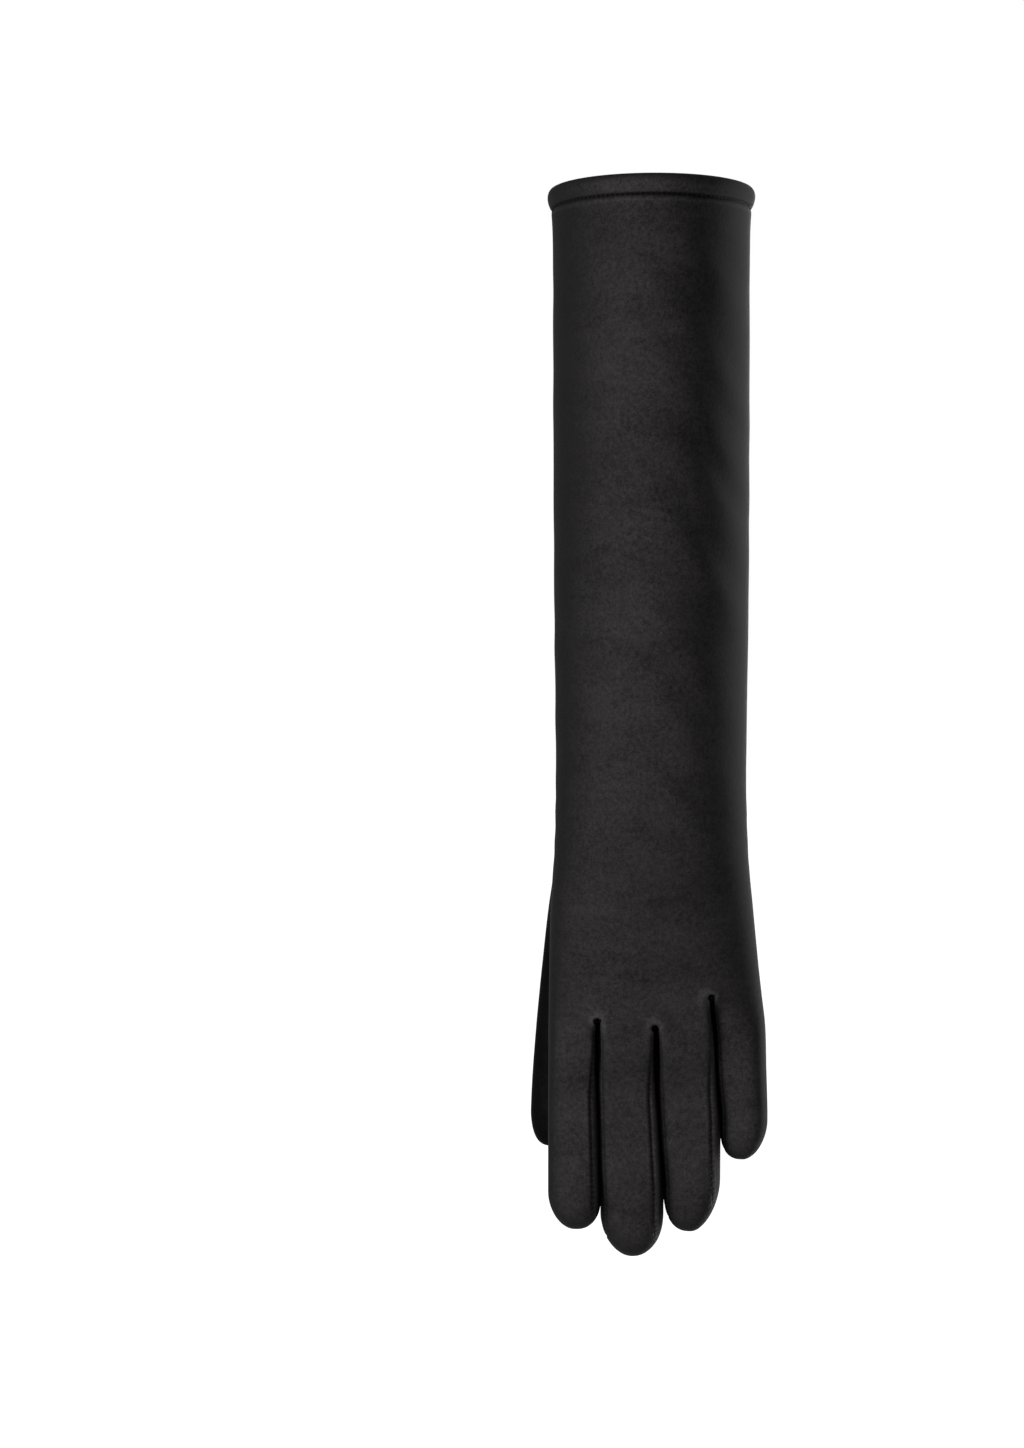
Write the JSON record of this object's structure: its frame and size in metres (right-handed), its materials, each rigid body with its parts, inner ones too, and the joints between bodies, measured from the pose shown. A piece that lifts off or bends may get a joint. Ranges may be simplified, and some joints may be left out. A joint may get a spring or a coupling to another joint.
{
  "type": "long suede dress glove",
  "caption": "Long dress glove for a left hand, filled out as worn with the fingers down, with forked finger sides, a set-in thumb and a folded hem.",
  "frame": {"origin": "centre of the mouth, level with the top of the hem, where the arm goes in", "axes": "+Z from the fingertips up to the mouth; -Y out of the back of the hand; +X from the thumb side to the little finger"},
  "size_m": [0.088, 0.075, 0.4],
  "materials": {
    "suede": "black suede with a short soft nap",
    "hem_suede": "folded black suede, nap pressed a little flatter"
  },
  "bodies": {
    "root": {"trank": "suede", "thumb": "suede", "fork_index_middle": "suede", "fork_middle_ring": "suede", "fork_ring_little": "suede", "hem_band": "hem_suede"}
  },
  "joints": []
}
